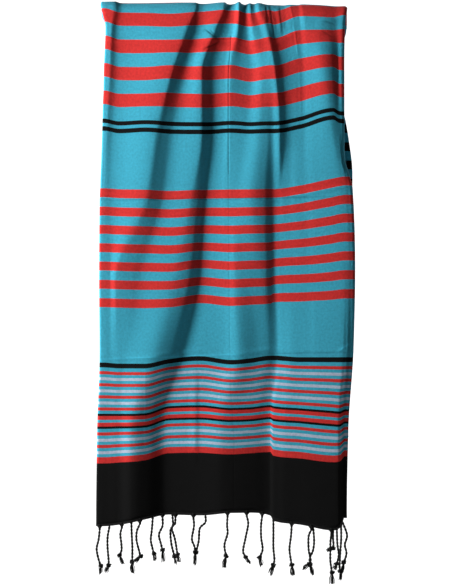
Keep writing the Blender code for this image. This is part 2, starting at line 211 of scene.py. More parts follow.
# Small folds that only the fine sheet has, mm: from one end to the other, half the width
# that each takes up, and how far it stands forward (+) or back (-).
SMALL_FOLDS = (
    # x     depth    x    depth  half  stands
    (76,    -4,      78,   36,    5,    1.4),
    (84,    -6,      91,   64,    5,    1.8),
    (101,   -6,     108,   58,    6,    1.6),
    (-37,   48,     -17,   70,    6,   -0.8),
    (-14,   74,     -46,   92,    6,   -0.8),
    (172,   42,     212,   34,    9,    0.8),
    (178,   64,     216,   54,    8,   -0.8),
    (227,   662,    246,  650,    6,   -0.8),
    (-61,   705,    -60,  900,    8,    1.6),
)

# Where the crease along the cloth's middle runs, mm.
MIDDLE_CREASE_DEPTHS = (0, 66, 147, 290, 575, 770, 850, 999)
MIDDLE_CREASE_X = (11, 10, 5, 5, 6.5, 10, 15, 16)

# Creases of the first folding that run across, metres from the front hem, and those that run up.
CREASE_THREADS = (0.318, 0.623, 0.929)
CREASE_STANDS = 1.2 * MM
CREASE_HALF = 5.0 * MM
WARP_CREASE_HALF = 1.1 * MM
# The creases that run up are bumps, and their height is also painted into the colour: shade as a dark line
# down each groove.
WARP_CREASES = (
    # share of the width   height mm   from depth  to depth on the front, mm
    (1 / 2,                -0.90,      62,         330),
    (1 / 2,                -0.30,      330,        1000),
    (5 / 6,                -0.30,      150,        700),
)

# Fine wrinkles of the front that the material shows, mm: from one end to the other, half the
# width, and the height, which also paints a highlight onto a ridge (+) and shade into a groove (-).
WRINKLES = (
    # x     depth   x      depth  half  height
    (-42,    48,    -11,    73,   1.6,  -1.1),
    (-32,    50,    -14,    68,   1.5,  -0.8),
    (-9,     71,    -45,    91,   1.8,  -1.1),
    (77,     -4,    82,     40,   2.4,  -1.2),
    (85,     -4,    94,     70,   2.4,  -1.2),
    (103,    -4,    111,    66,   2.6,  -1.2),
    (124,    0,     130,    34,   2.4,  0.7),
    (130,    34,    141,    110,  2.4,  0.6),
    (141,    110,   146,    236,  2.0,  0.25),
    (190,    33,    212,    41,   2.0,  -0.7),
    (184,    52,    208,    66,   2.0,  -0.7),
    (-54,    690,   -53,    895,  4.0,  -0.4),
    (212,    678,   245,    654,  2.2,  0.7),
    (-262,   689,   60,     678,  1.8,  0.8),
    (50,     679,   258,    675,  1.5,  -0.5),
    (-156,   690,   -157,   860,  1.5,  0.4),
    (-262,   382,   240,    374,  1.8,  -0.7),
    (-225,   70,    60,     72,   1.8,  0.5),
)
# How far round the bend they may run, and how fast and how softly they fade at their ends.
WRINKLE_REACH = 10 * MM
WRINKLE_ENDS = 5.0
WRINKLE_SOFTNESS = 0.05

# The strands of the front fringe, mm: the layer each hangs from and where its root is, then x
# and depth at its bends, with its knot last but one and its tip last.
FRONT_STRANDS = (
    # layer  root   bends, knot and tip: x and depth of each
    ("leaf", -244, ((-246, 1036), (-250, 1055), (-246, 1075), (-242, 1087), (-243, 1101))),
    ("flap", -226, ((-230, 1034), (-230, 1055), (-228, 1079), (-228, 1090), (-233, 1101))),
    ("leaf", -201, ((-204, 1026), (-202, 1045), (-202, 1058), (-206, 1067), (-199, 1082))),
    ("flap", -184, ((-183, 1030), (-182, 1055), (-182, 1070), (-182, 1083), (-181, 1104))),
    ("leaf", -166, ((-172, 1020), (-173, 1036), (-169, 1053), (-165, 1069), (-177, 1079))),
    ("flap", -142, ((-144, 1020), (-146, 1040), (-143, 1056), (-140, 1067), (-138, 1079))),
    ("leaf", -123, ((-123, 1012), (-130, 1029), (-126, 1048), (-123, 1058), (-121, 1080))),
    ("flap", -104, ((-103, 1012), (-108, 1022), (-106, 1048), (-100, 1072), (-98, 1084))),
    ("leaf", -98, ((-99, 1008), (-105, 1016), (-99, 1037), (-94, 1068), (-91, 1080))),
    ("leaf", -63, ((-62, 1012), (-66, 1037), (-61, 1052), (-60, 1062), (-61, 1085))),
    ("flap", -40, ((-40, 1006), (-51, 1018), (-53, 1042), (-58, 1064), (-61, 1080))),
    ("leaf", 3, ((2, 1010), (3, 1026), (-3, 1048), (0, 1069), (-2, 1090))),
    ("leaf", 40, ((43, 1008), (38, 1034), (33, 1060), (38, 1072), (46, 1084))),
    ("leaf", 70, ((68, 1010), (68, 1034), (71, 1058), (65, 1073), (67, 1088))),
    ("flap", 92, ((92, 1026), (92, 1055), (94, 1078), (92, 1089), (87, 1106))),
    ("leaf", 127, ((126, 1030), (124, 1046), (123, 1060), (127, 1087), (131, 1106))),
    ("leaf", 165, ((160, 1032), (160, 1058), (164, 1078), (161, 1085), (151, 1095))),
    ("flap", 167, ((171, 1038), (169, 1060), (163, 1075), (163, 1088), (168, 1107))),
    ("leaf", 204, ((202, 1042), (202, 1060), (202, 1080), (205, 1101), (205, 1123))),
    ("flap", 209, ((208, 1036), (209, 1048), (208, 1056), (197, 1061))),
    ("leaf", 223, ((223, 1040), (221, 1064), (220, 1090), (221, 1100), (222, 1114))),
    ("flap", 215, ((216, 1045), (219, 1070), (215, 1087), (211, 1096))),
    ("flap", 225, ((235, 1030), (231, 1050), (234, 1066), (229, 1084), (224, 1104))),
)
STRAND_DRIFT = 2.0 * MM

# The strands behind: how many hang from the leaf and from each flap, and how they sway. The
# shares of a strand's length are those of its bends, its knot and its tip.
LEAF_STRANDS_BEHIND = 12
FLAP_STRANDS_BEHIND = 5
FLAP_STRAND_START = 0.9
FLAP_STRAND_SPARE = 0.8
STRAND_LENGTH_BEHIND = 92.0 * MM
STRAND_SWAY = 5.0 * MM
STRAND_WOBBLE = 3.0 * MM
STRAND_SHARES = (0.25, 0.5, 0.66, 0.78, 1.0)

# The yarn: two plies a cord with so many turns a metre, a knot, a brush of loose yarns under
# it, and the yarns that gather from the hem into the cord.
PLY_RADIUS = 1.35 * MM
PLY_OFFSET = 0.9
PLY_TURNS = 75.0
PLY_STEP = 1.2 * MM
PLY_SIDES = 6
FINE_RADIUS = 0.65 * MM
FINE_SIDES = 4
PATH_STEP = 2.0 * MM
BRUSH_STEP = 3.0 * MM
KNOT_SCALE = 1.3 * MM
KNOT_DEPTH = 1.4
KNOT_TILT = 0.5
KNOT_POINTS = 32
BRUSH_YARNS = 20
BRUSH_SPREAD = 1.8 * MM
BRUSH_BOW = 0.5
BRUSH_BELLY = 0.4
BRUSH_SHAPE = (1.0, 0.8, 1.2)
GATHER_YARNS = 10
GATHER_REACH = 6.0 * MM
GATHER_DROP = 9.5 * MM
GATHER_RAGGED = 0.5 * MM
GATHER_LOW = 3.0 * MM
GATHER_BEND = (0.35, 1.0, 0.25)

FRONT_SEED = 7
BACK_SEED = 8

# The narrow heading under each hem: how high its three lines lie against the hem.
HEADING_DROPS = (0.2 * MM, -2.0 * MM, -4.3 * MM)

# Rows of faces along the cloth: up to which thread, metres from the front hem, and how many.
ROW_SPANS = (
    # to     rows
    (0.308,   44),
    (0.328,   10),
    (0.613,   38),
    (0.633,   10),
    (0.850,   40),
    (0.965,   34),
    (1.075,   34),
    (1.840,   46),
)


def smooth_curve(knots, values, at):
    """A curve through the knots that never swings past them (monotone cubic)."""
    knots = np.asarray(knots, float)
    values = np.asarray(values, float)
    at = np.clip(np.asarray(at, float), knots[0], knots[-1])
    step = np.diff(knots)
    rate = np.diff(values) / step
    slope = np.zeros_like(values)
    same = rate[:-1] * rate[1:] > 0
    weight_a = 2 * step[1:] + step[:-1]
    weight_b = step[1:] + 2 * step[:-1]
    inner = np.zeros_like(weight_a)
    inner[same] = (weight_a + weight_b)[same] / (
        weight_a[same] / rate[:-1][same] + weight_b[same] / rate[1:][same])
    slope[1:-1] = inner
    i = np.clip(np.searchsorted(knots, at, side="right") - 1, 0, len(step) - 1)
    t = (at - knots[i]) / step[i]
    rise = values[i + 1] - values[i]
    return (values[i] + rise * t * t * (3 - 2 * t)
            + step[i] * t * (1 - t) * (slope[i] * (1 - t) - slope[i + 1] * t))


def smooth_step(t):
    t = np.clip(t, 0.0, 1.0)
    return t * t * (3 - 2 * t)


def outline_at(column, depth):
    """A side of the silhouette, in metres, at a depth in metres."""
    depths = [row[0] * MM for row in OUTLINE]
    return float(smooth_curve(depths, [row[column] * MM for row in OUTLINE], depth))


def lift_at(x, depth):
    """How far the weft has crept at each x, on the thread that level cloth has at depth."""
    places = np.array(LIFT_X) * MM
    rows = np.array([smooth_curve(places, np.array(row[1]) * MM, x) for row in LIFTS])
    depths = np.array([row[0] * MM for row in LIFTS])
    if rows.ndim == 1:
        return float(smooth_curve(depths, rows, depth))
    return np.array([smooth_curve(depths, rows[:, k], depth) for k in range(rows.shape[1])])


def bar_height(x):
    """The height of the bar's axis, which dips a little to the right."""
    return -OUTER_RADIUS + HANG_SHIFT + HANG_SLOPE * x


def fold_lines_at(depth):
    """The x and the relief of every fold line at one depth, the leaf's two ends included."""
    ends = (outline_at(1, depth) + TURN_LEFT + SOLID_THICK / 2,
            outline_at(2, depth) - TURN_RIGHT - SOLID_THICK / 2)
    depths = np.array(LINE_DEPTHS) * MM
    xs = [float(smooth_curve(depths, np.array(line[1]) * MM, depth)) for line in FOLD_LINES]
    stands = [SIDE_STANDS[0]] + [line[2] for line in FOLD_LINES] + [SIDE_STANDS[1]]
    relief = [float(smooth_curve(depths, np.array(row) * MM, depth)) for row in stands]
    return np.array([ends[0]] + xs + [ends[1]]), np.array(relief)


def with_falls(xs, relief, depth):
    """Adds a point between a crest of FALLS and the next line, to lean the fall one way."""
    made_x = [xs[0]]
    made_relief = [relief[0]]
    for number, line in enumerate(FOLD_LINES, 1):
        made_x.append(xs[number])
        made_relief.append(relief[number])
        if line[0] not in FALLS:
            continue
        steep = float(smooth_curve(np.array(LINE_DEPTHS) * MM, FALLS[line[0]], depth))
        reach = FALL_REACH[0] - FALL_REACH[1] * steep
        rest = FALL_REST[0] - FALL_REST[1] * steep
        made_x.append(xs[number] + (xs[number + 1] - xs[number]) * reach)
        made_relief.append(relief[number + 1] + (relief[number] - relief[number + 1]) * rest)
    return np.array(made_x + [xs[-1]]), np.array(made_relief + [relief[-1]])


def leaf_stations():
    """Places across the leaf, in fold lines from the left end."""
    counts = [FIRST_COLUMNS] + [line[3] for line in FOLD_LINES]
    places = [line + k / count for line, count in enumerate(counts) for k in range(count)]
    return np.array(places + [float(len(counts))])


STATIONS = leaf_stations()


def back_relief(x, depth):
    """The soft waves of the half that hangs behind."""
    phase = x / BACK_PITCH + BACK_LEAN * depth
    return BACK_WAVE * (1 + np.sin(2 * math.pi * phase)) * smooth_step(depth / BACK_FADE)


def small_relief(x, depth):
    """What the small folds add at each x and depth; each fades over a quarter at its ends."""
    total = np.zeros_like(x)
    for x_a, depth_a, x_b, depth_b, half, stands in SMALL_FOLDS:
        start = np.array((x_a, depth_a)) * MM
        run = np.array((x_b, depth_b)) * MM - start
        off_x = x - start[0]
        off_depth = depth - start[1]
        length = float(np.hypot(*run))
        part = (off_x * run[0] + off_depth * run[1]) / length ** 2
        aside = np.abs(off_x * run[1] - off_depth * run[0]) / length
        ends = smooth_step(part / 0.25) * smooth_step((1 - part) / 0.25)
        total += stands * MM * ends * smooth_step(1 - aside / (half * MM))
    return total


def place(x, stand, radius, along):
    """Points of the cloth: across x, forward by stand, along metres past the bend's start."""
    axis = bar_height(x)
    turned = np.clip(along / BEND_RADIUS, 0.0, math.pi)
    hang = np.where(along < 0, along, -np.maximum(along - math.pi * BEND_RADIUS, 0.0))
    reach = radius + stand
    return np.stack([x, -reach * np.cos(turned), axis + reach * np.sin(turned) + hang], axis=-1)


def cloth_row(thread):
    """The points of one weft thread, from selvedge to selvedge; thread is metres from the front hem."""
    depth = FRONT_DROP - thread
    mid_along = -depth + lift_at(0.0, depth) - bar_height(0.0)
    behind = mid_along > math.pi * BEND_RADIUS
    hung = max(mid_along - math.pi * BEND_RADIUS, 0.0) if behind else max(depth, 0.0)
    front_depth = 0.0 if behind else hung
    xs, relief = fold_lines_at(front_depth)
    leaf_x = np.interp(STATIONS, np.arange(len(xs)), xs)
    leaf_relief = smooth_curve(*with_falls(xs, relief, front_depth), leaf_x)
    if behind:
        blend = float(smooth_step(hung / BACK_FADE))
        level = hung + OUTER_RADIUS - HANG_SHIFT
        left = outline_at(3, level) + TURN_LEFT + SOLID_THICK / 2
        right = outline_at(4, level) - TURN_RIGHT - SOLID_THICK / 2
        leaf_x = left + (leaf_x - xs[0]) * (right - left) / (xs[-1] - xs[0])
        leaf_relief = leaf_relief * (1 - blend) + back_relief(leaf_x, hung)
    leaf_along = -depth + lift_at(leaf_x, depth) - bar_height(leaf_x)
    for crease in CREASE_THREADS:
        leaf_relief = leaf_relief + CREASE_STANDS * math.exp(-((thread - crease) / CREASE_HALF) ** 2)
    if not behind:
        leaf_relief = leaf_relief + small_relief(leaf_x, -leaf_along - bar_height(leaf_x))
    leaf = place(leaf_x, leaf_relief, OUTER_RADIUS, leaf_along)

    def side(end, sign, round_x, inner_x):
        """A flap from its selvedge outwards, and the turn that joins it to the leaf."""
        side_x = leaf_x[end]
        side_along = leaf_along[end]
        flap_x = np.linspace(inner_x, side_x, FLAP_COLUMNS + 1)
        away = smooth_step(np.abs(flap_x - side_x) / FLAP_REACH)
        side_lift = side_along + depth + bar_height(side_x)
        goal = FLAP_HEM_RISE * float(smooth_step(depth / FRONT_DROP)) if depth > 0 else side_lift
        lift = side_lift + (goal - side_lift) * away
        wave = FLAP_WAVE * np.sin(math.pi * (flap_x - side_x) / (inner_x - side_x)) ** 2
        flap = place(flap_x, wave, INNER_RADIUS, -depth + lift - bar_height(flap_x))
        half = (OUTER_RADIUS + leaf_relief[end] - INNER_RADIUS) / 2
        angle = math.pi * np.arange(1, TURN_COLUMNS) / TURN_COLUMNS
        out = side_x + sign * round_x * np.sin(angle)
        middle = INNER_RADIUS + half * (1 - np.cos(angle))
        turn = place(out, 0.0, middle, np.full_like(out, side_along))
        return np.concatenate([flap, turn])

    left_side = side(0, -1, TURN_LEFT, SELVEDGE_X - SELVEDGE_GAP / 2)
    right_side = side(-1, 1, TURN_RIGHT, SELVEDGE_X + SELVEDGE_GAP / 2)
    return np.concatenate([left_side, leaf, right_side[::-1]])


def thread_rows():
    """The weft threads that the rows of faces follow, metres from the front hem."""
    rows = [0.0]
    for end, count in ROW_SPANS:
        start = rows[-1]
        rows += [start + (end - start) * (k + 1) / count for k in range(count)]
    return rows


def grid_mesh(name, points, across, along):
    """A sheet of faces on a grid of points, with its UV in metres across and along."""
    rows, columns = points.shape[:2]
    index = np.arange(rows * columns).reshape(rows, columns)
    corners = [index[:-1, :-1], index[:-1, 1:], index[1:, 1:], index[1:, :-1]]
    quads = np.stack(corners, axis=-1).reshape(-1, 4)
    mesh = bpy.data.meshes.new(name)
    mesh.from_pydata(points.reshape(-1, 3).tolist(), [], quads.tolist())
    layer = mesh.uv_layers.new(name="cloth")
    flat = np.stack([across, along], axis=-1).reshape(-1, 2)[quads.reshape(-1)]
    layer.data.foreach_set("uv", flat.reshape(-1))
    mesh.shade_smooth()
    made = bpy.data.objects.new(name, mesh)
    bpy.context.scene.collection.objects.link(made)
    return made


def apply_modifiers(piece):
    """Turns a piece into the plain mesh that its modifiers make."""
    bpy.context.view_layer.update()
    depsgraph = bpy.context.evaluated_depsgraph_get()
    mesh = bpy.data.meshes.new_from_object(piece.evaluated_get(depsgraph), depsgraph=depsgraph)
    mesh.name = piece.name
    piece.modifiers.clear()
    old = piece.data
    piece.data = mesh
    if old.users == 0:
        bpy.data.meshes.remove(old)
    return piece


def thicken(piece, thickness):
    """Gives a sheet its thickness, half to each side."""
    solid = piece.modifiers.new("thickness", "SOLIDIFY")
    solid.thickness = thickness
    solid.offset = 0.0
    return apply_modifiers(piece)


def make_camera():
    """A level camera in front, whose frame at the cloth has the photograph's real size."""
    data = bpy.data.cameras.new("camera")
    data.sensor_fit = "VERTICAL"
    data.sensor_height = SENSOR
    data.lens = SENSOR * (CAMERA_AWAY - OUTER_RADIUS) / (FRAME_HIGH * PIXEL)
    camera = bpy.data.objects.new("camera", data)
    bpy.context.scene.collection.objects.link(camera)
    camera.location = ((FRAME_WIDE / 2 - MID_COLUMN) * PIXEL, -CAMERA_AWAY,
                       (HANG_LINE_ROW - FRAME_HIGH / 2) * PIXEL)
    camera.rotation_euler = (math.pi / 2, 0.0, 0.0)
    bpy.context.scene.camera = camera


class Socket:
    """A socket of a node tree; arithmetic on it adds Math nodes."""

    def __init__(self, tree, socket):
        self.tree = tree
        self.socket = socket

    def math(self, operation, *values):
        node = add_node(self.tree, "ShaderNodeMath", {"operation": operation}, values)
        return Socket(self.tree, node.outputs[0])

    def __add__(self, other):
        return self.math("ADD", self, other)

    def __radd__(self, other):
        return self.math("ADD", other, self)

    def __sub__(self, other):
        return self.math("SUBTRACT", self, other)

    def __rsub__(self, other):
        return self.math("SUBTRACT", other, self)

    def __mul__(self, other):
        return self.math("MULTIPLY", self, other)

    def __rmul__(self, other):
        return self.math("MULTIPLY", other, self)

    def __truediv__(self, other):
        return self.math("DIVIDE", self, other)

    def __gt__(self, other):
        return self.math("GREATER_THAN", self, other)

    def __lt__(self, other):
        return self.math("LESS_THAN", self, other)

    def __abs__(self):
        return self.math("ABSOLUTE", self)

    def sine(self):
        return self.math("SINE", self)


def add_node(tree, kind, settings=None, values=()):
    """One node: its settings first, then the values or links of its sockets, by place or name."""
    node = tree.nodes.new(kind)
    for key, value in (settings or {}).items():
        if key == "stops":
            ramp = node.color_ramp
            while len(ramp.elements) < len(value):
                ramp.elements.new(0.5)
            for element, (where, colour) in zip(ramp.elements, value):
                element.position = where
                element.color = colour
        elif key == "steps":
            node.color_ramp.interpolation = value
        else:
            setattr(node, key, value)
    pairs = values.items() if isinstance(values, dict) else enumerate(values)
    for key, value in pairs:
        if isinstance(value, Socket):
            tree.links.new(value.socket, node.inputs[key])
        elif value is not None:
            node.inputs[key].default_value = value
    return node


def wrapped(tree, kind, settings=None, values=(), output=0):
    """One output of a new node, by place or name."""
    return Socket(tree, add_node(tree, kind, settings, values).outputs[output])


def linear(red, green, blue):
    """A colour as the eye names it, 0 to 255, in the light's own scale."""
    def one(value):
        value = value / 255
        return value / 12.92 if value <= 0.04045 else ((value + 0.055) / 1.055) ** 2.4
    return (one(red), one(green), one(blue), 1.0)


TEAL = linear(62, 166, 192)
RED = linear(208, 50, 48)
BLACK = linear(5, 5, 5)
PALE = linear(180, 192, 212)

# The stripes of one half of the cloth, mm, from its middle to its hem. Between them it is teal.
# A stripe of the dye "group" is red on the half in front and black on the half behind.
WIDE_STRIPE = 25.8
WIDE_GAP = 26.6
GROUP_START = 278.3
GROUP_STRIPE = 17.1
GROUP_GAP = 18.3
GROUP_COUNT = 7
FINE_STRIPES = (("red", 5.9), ("teal", 5.9), ("pale", 5.3), ("teal", 5.8))
GROUP_STRIPES = (("group", GROUP_STRIPE), ("teal", GROUP_GAP))
BANDS = (
    # from    times        stripes of one repeat
    (0.0,    1,            (("red", WIDE_STRIPE / 2),)),
    (12.9,   2,            (("teal", WIDE_GAP), ("red", WIDE_STRIPE))),
    (145.5,  1,            (("black", 8.1), ("teal", 6.4), ("black", 8.7))),
    (GROUP_START, GROUP_COUNT, GROUP_STRIPES),
    (614.0,  1,            (("black", 9.2),)),
    (630.3,  3,            FINE_STRIPES),
    (699.0,  1,            (("red", 5.9), ("teal", 6.0), ("black", 4.3), ("red", 7.1), ("teal", 5.2))),
    (727.5,  1,            (("red", 7.1), ("black", 4.3), ("teal", 6.3))),
    (745.2,  2,            FINE_STRIPES),
    (791.0,  1,            (("red", 11.8), ("black", 15.0))),
    (817.0,  1,            (("black", 110.0),)),
)
DYES = {"teal": TEAL, "red": RED, "black": BLACK, "pale": PALE}
HALF_LENGTH = CLOTH_LENGTH / 2

# Further than BACK_RISE_START past the middle, the stripes behind are shifted towards it.
BACK_RISE = 2.5 * MM
BACK_RISE_START = 130 * MM


def stripe_stops(stripes, group):
    """The stops of a ramp with hard steps; a stripe of the group takes the group's own dye."""
    total = sum(width for dye, width in stripes)
    stops = []
    reached = 0.0
    for dye, width in stripes:
        stops.append((reached / total, DYES[group if dye == "group" else dye]))
        reached += width
    return stops


# The weave: how far apart its threads are, and how ragged a stripe's edge is.
WARP_PITCH = 1.1 * MM
WEFT_PITCH = 0.7 * MM
RAGGED = 0.9 * MM

# How light the dye is: its level, and how far thick threads, uneven dyeing and the weave change it;
# then the painted shade in a crease's groove and painted highlight on its ridge, from its height.
# Then how high the thick threads and the weave stand.
SHADE_LEVEL = 0.52
SHADE_SLUB = 0.36
SHADE_GRAIN = 0.55
SHADE_WEAVE = 0.05
PAINTED_CREASE_SHADE = 0.40 / MM
SLUB_HEIGHT = 0.25 * MM
WEAVE_HEIGHT = 0.10 * MM


def new_material(name, finish):
    """A material, its node tree and its shader, with a finish set on the shader's own sockets."""
    made = bpy.data.materials.new(name)
    made.use_nodes = True
    shader = made.node_tree.nodes["Principled BSDF"]
    for socket, value in finish.items():
        shader.inputs[socket].default_value = value
    return made, made.node_tree, shader


def parted(tree, vector):
    """The x, y and z of a vector."""
    node = add_node(tree, "ShaderNodeSeparateXYZ", None, [vector])
    return [Socket(tree, output) for output in node.outputs]


def grey(tree, value):
    """A colour whose three parts are one value."""
    return wrapped(tree, "ShaderNodeCombineXYZ", None, [value, value, value])


def mixed(tree, factor, one, two, blend="MIX"):
    """A mix of two colours, each a value or a socket."""
    node = add_node(tree, "ShaderNodeMix", {"data_type": "RGBA", "blend_type": blend})
    for name, value in (("Factor_Float", factor), ("A_Color", one), ("B_Color", two)):
        socket = next(s for s in node.inputs if s.identifier == name)
        if isinstance(value, Socket):
            tree.links.new(value.socket, socket)
        else:
            socket.default_value = value
    return Socket(tree, next(s for s in node.outputs if s.identifier == "Result_Color"))


def stripes_at(tree, along, from_middle):
    """The dye at each place along the cloth."""
    dyed = TEAL
    for start, times, stripes in BANDS:
        span = times * sum(width for dye, width in stripes) * MM
        part = (from_middle - start * MM) / span
        inside = (part > 0.0) * (part < 1.0)
        repeat = (part * times).math("FRACT", part * times)
        ramps = []
        for group in ("red", "black"):
            settings = {"steps": "CONSTANT", "stops": stripe_stops(stripes, group)}
            ramps.append(wrapped(tree, "ShaderNodeValToRGB", settings, [repeat]))
        shown = mixed(tree, along > HALF_LENGTH, *ramps) if stripes == GROUP_STRIPES else ramps[0]
        dyed = mixed(tree, inside, dyed, shown)
    return dyed


def bell(distance, half):
    """A soft hump along distance 0 that has fallen to about a third at half."""
    near = distance / half
    return near.math("EXPONENT", near * near * -1.0)


def creases_at(tree, across, along):
    """How high the front's creases and wrinkles stand at each place; the material also paints this height
    into the colour as shade in grooves and highlight on ridges.
    """
    x, _, z = parted(tree, wrapped(tree, "ShaderNodeTexCoord", None, (), "Object"))
    depth = z * -1.0
    front = along < FRONT_DROP + WRINKLE_REACH
    height = 0.0
    for share, tall, start, end in WARP_CREASES:
        held = front * (depth > start * MM) * (depth < end * MM)
        height = height + held * bell(across - share * CLOTH_WIDTH, WARP_CREASE_HALF) * (tall * MM)
    for x_a, depth_a, x_b, depth_b, half, tall in WRINKLES:
        run_x = (x_b - x_a) * MM
        run_depth = (depth_b - depth_a) * MM
        length = math.hypot(run_x, run_depth)
        off_x = x - x_a * MM
        off_depth = depth - depth_a * MM
        part = (off_x * run_x + off_depth * run_depth) / length ** 2
        aside = (off_x * run_depth - off_depth * run_x) / length
        ends = part.math("SMOOTH_MAX", part * (1.0 - part) * WRINKLE_ENDS, 0.0, WRINKLE_SOFTNESS)
        ends = ends.math("MINIMUM", ends, 1.0)
        height = height + front * ends * bell(aside, half * MM) * (tall * MM)
    return height


def cloth_material():
    """Flat-woven cotton, dyed in stripes, uneven in the thread and creased, with painted shade in the
    creases' grooves and painted highlight on their ridges.
    """
    finish = {"Sheen Weight": 0.05, "Sheen Roughness": 0.5, "Specular IOR Level": 0.12}
    made, tree, shader = new_material("woven_cotton", finish)
    across, along, _ = parted(tree, wrapped(tree, "ShaderNodeUVMap", {"uv_map": "cloth"}))

    def noise(scale_across, scale_along, detail=2.0):
        spot = wrapped(tree, "ShaderNodeCombineXYZ", None, [across * scale_across, along * scale_along])
        return wrapped(tree, "ShaderNodeTexNoise", None, {"Vector": spot, "Scale": 1.0, "Detail": detail})

    ragged = (noise(900.0, 40.0) - 0.5) * RAGGED
    rise = (along > HALF_LENGTH + BACK_RISE_START) * BACK_RISE
    dyed = stripes_at(tree, along, abs(along + ragged - HALF_LENGTH) + rise)
    slub = noise(55.0, 1400.0) * 0.6 + noise(1200.0, 30.0) * 0.4
    warp = (across * (2 * math.pi / WARP_PITCH)).sine()
    weft = (along * (2 * math.pi / WEFT_PITCH)).sine()
    over = warp * weft
    bends = creases_at(tree, across, along)
    grain = noise(230.0, 200.0, 5.0)
    # The dye's tone from thick threads, uneven dyeing and the weave, plus painted shade in crease grooves
    # and painted highlight on crease ridges.
    shade = (SHADE_LEVEL + slub * SHADE_SLUB + grain * SHADE_GRAIN + over * SHADE_WEAVE
             + bends * PAINTED_CREASE_SHADE)
    dyed_tone_and_painted_shade = mixed(tree, 1.0, dyed, grey(tree, shade), "MULTIPLY")
    tree.links.new(dyed_tone_and_painted_shade.socket, shader.inputs["Base Color"])
    rough = 0.82 + slub * 0.1
    tree.links.new(rough.socket, shader.inputs["Roughness"])

    height = over * WEAVE_HEIGHT + slub * SLUB_HEIGHT + bends
    bump = add_node(tree, "ShaderNodeBump", None, {"Strength": 0.8, "Distance": 1.0, "Height": height})
    tree.links.new(bump.outputs[0], shader.inputs["Normal"])
    return made


def make_cloth():
    """The cloth, with its UV in metres of cloth, and the points of its grid."""
    threads = thread_rows()
    points = np.array([cloth_row(thread) for thread in threads])
    pace = np.linalg.norm(np.diff(points, axis=1), axis=2)
    across = np.concatenate([np.zeros((len(threads), 1)), np.cumsum(pace, axis=1)], axis=1)
    leaf = slice(FLAP_COLUMNS + TURN_COLUMNS, -FLAP_COLUMNS - TURN_COLUMNS)
    for k, thread in enumerate(threads):
        depth = (FRONT_DROP - thread) / MM
        crease_x = smooth_curve(MIDDLE_CREASE_DEPTHS, MIDDLE_CREASE_X, depth) * MM
        across[k] += CLOTH_WIDTH / 2 - np.interp(crease_x, points[k, leaf, 0], across[k, leaf])
    along = np.repeat(np.array(threads)[:, None], points.shape[1], axis=1)
    cloth = grid_mesh("woven_cloth", points, across, along)
    cloth.data.materials.append(cloth_material())
    return thicken(cloth, CLOTH_THICK), points


def smooth_path(points, step):
    """Points about a step apart on a smooth curve through the given ones (Catmull-Rom)."""
    points = [np.asarray(point, float) for point in points]
    knots = [2 * points[0] - points[1], *points, 2 * points[-1] - points[-2]]
    made = []
    for a, b, c, d in zip(knots, knots[1:], knots[2:], knots[3:]):
        count = max(2, math.ceil(np.linalg.norm(c - b) / step))
        for k in range(count):
            t = k / count
            bend = (2 * a - 5 * b + 4 * c - d) * t * t + (3 * b - a - 3 * c + d) * t ** 3
            made.append(b + ((c - a) * t + bend) / 2)
    return made + [points[-1]]


def hem_point(hem, layer, x):
    """The point of a hem under x, on the leaf or on the flap of that side."""
    first = FLAP_COLUMNS + TURN_COLUMNS
    if layer == "leaf":
        span = hem[first:-first]
    elif x < SELVEDGE_X:
        span = hem[:FLAP_COLUMNS + 1]
    else:
        span = hem[-FLAP_COLUMNS - 1:]
    span = span[np.argsort(span[:, 0])]
    return np.array([np.interp(x, span[:, 0], span[:, axis]) for axis in range(3)])


def front_strands(hem):
    """Each strand's layer, root and way down, in metres; it drifts a little to and from its layer."""
    made = []
    for number, (layer, root_x, places) in enumerate(FRONT_STRANDS):
        root = hem_point(hem, layer, root_x * MM)
        way = []
        for k, (x, depth) in enumerate(places):
            drift = STRAND_DRIFT * math.sin(1.7 * number + 2.1 * k)
            way.append(np.array((x * MM, root[1] + drift, -depth * MM)))
        made.append((layer, root, way))
    return made


def back_strands(hem):
    """Evenly spaced strands for the end that hangs behind, where the photograph shows none."""
    first = FLAP_COLUMNS + TURN_COLUMNS
    left = hem[first, 0]
    right = hem[-first - 1, 0]
    roots = [("leaf", left + (right - left) * (k + 0.5) / LEAF_STRANDS_BEHIND)
             for k in range(LEAF_STRANDS_BEHIND)]
    flap_spaces = FLAP_STRANDS_BEHIND + FLAP_STRAND_SPARE
    for low, high in ((left, SELVEDGE_X - SELVEDGE_GAP), (SELVEDGE_X + SELVEDGE_GAP, right)):
        roots += [("flap", low + (high - low) * (k + FLAP_STRAND_START) / flap_spaces)
                  for k in range(FLAP_STRANDS_BEHIND)]
    made = []
    for number, (layer, x) in enumerate(roots):
        root = hem_point(hem, layer, x)
        sway = STRAND_SWAY * math.sin(2.4 * number)
        length = STRAND_LENGTH_BEHIND + 2 * sway
        way = []
        for k, down in enumerate(STRAND_SHARES):
            aside = sway * down + STRAND_WOBBLE * math.sin(1.9 * number + 2.6 * k)
            back = STRAND_DRIFT * math.sin(2.3 * number + 1.7 * k)
            way.append(root + np.array((aside, back, -length * down)))
        made.append((layer, root, way))
    return made


def knot_loop(centre, rng):
    """A small knot round a cord: a trefoil, turned its own way."""
    tilts = [rng.uniform(-KNOT_TILT, KNOT_TILT), rng.uniform(-KNOT_TILT, KNOT_TILT)]
    turned = Euler((*tilts, rng.uniform(0.0, 2 * math.pi)))
    loop = []
    for k in range(KNOT_POINTS):
        t = 2 * math.pi * k / KNOT_POINTS
        x = math.sin(t) + 2 * math.sin(2 * t)
        y = math.cos(t) - 2 * math.cos(2 * t)
        spot = Vector((x, y, -KNOT_DEPTH * math.sin(3 * t)))
        spot.rotate(turned)
        loop.append(centre + np.array(spot) * KNOT_SCALE)
    return loop + loop[:1]


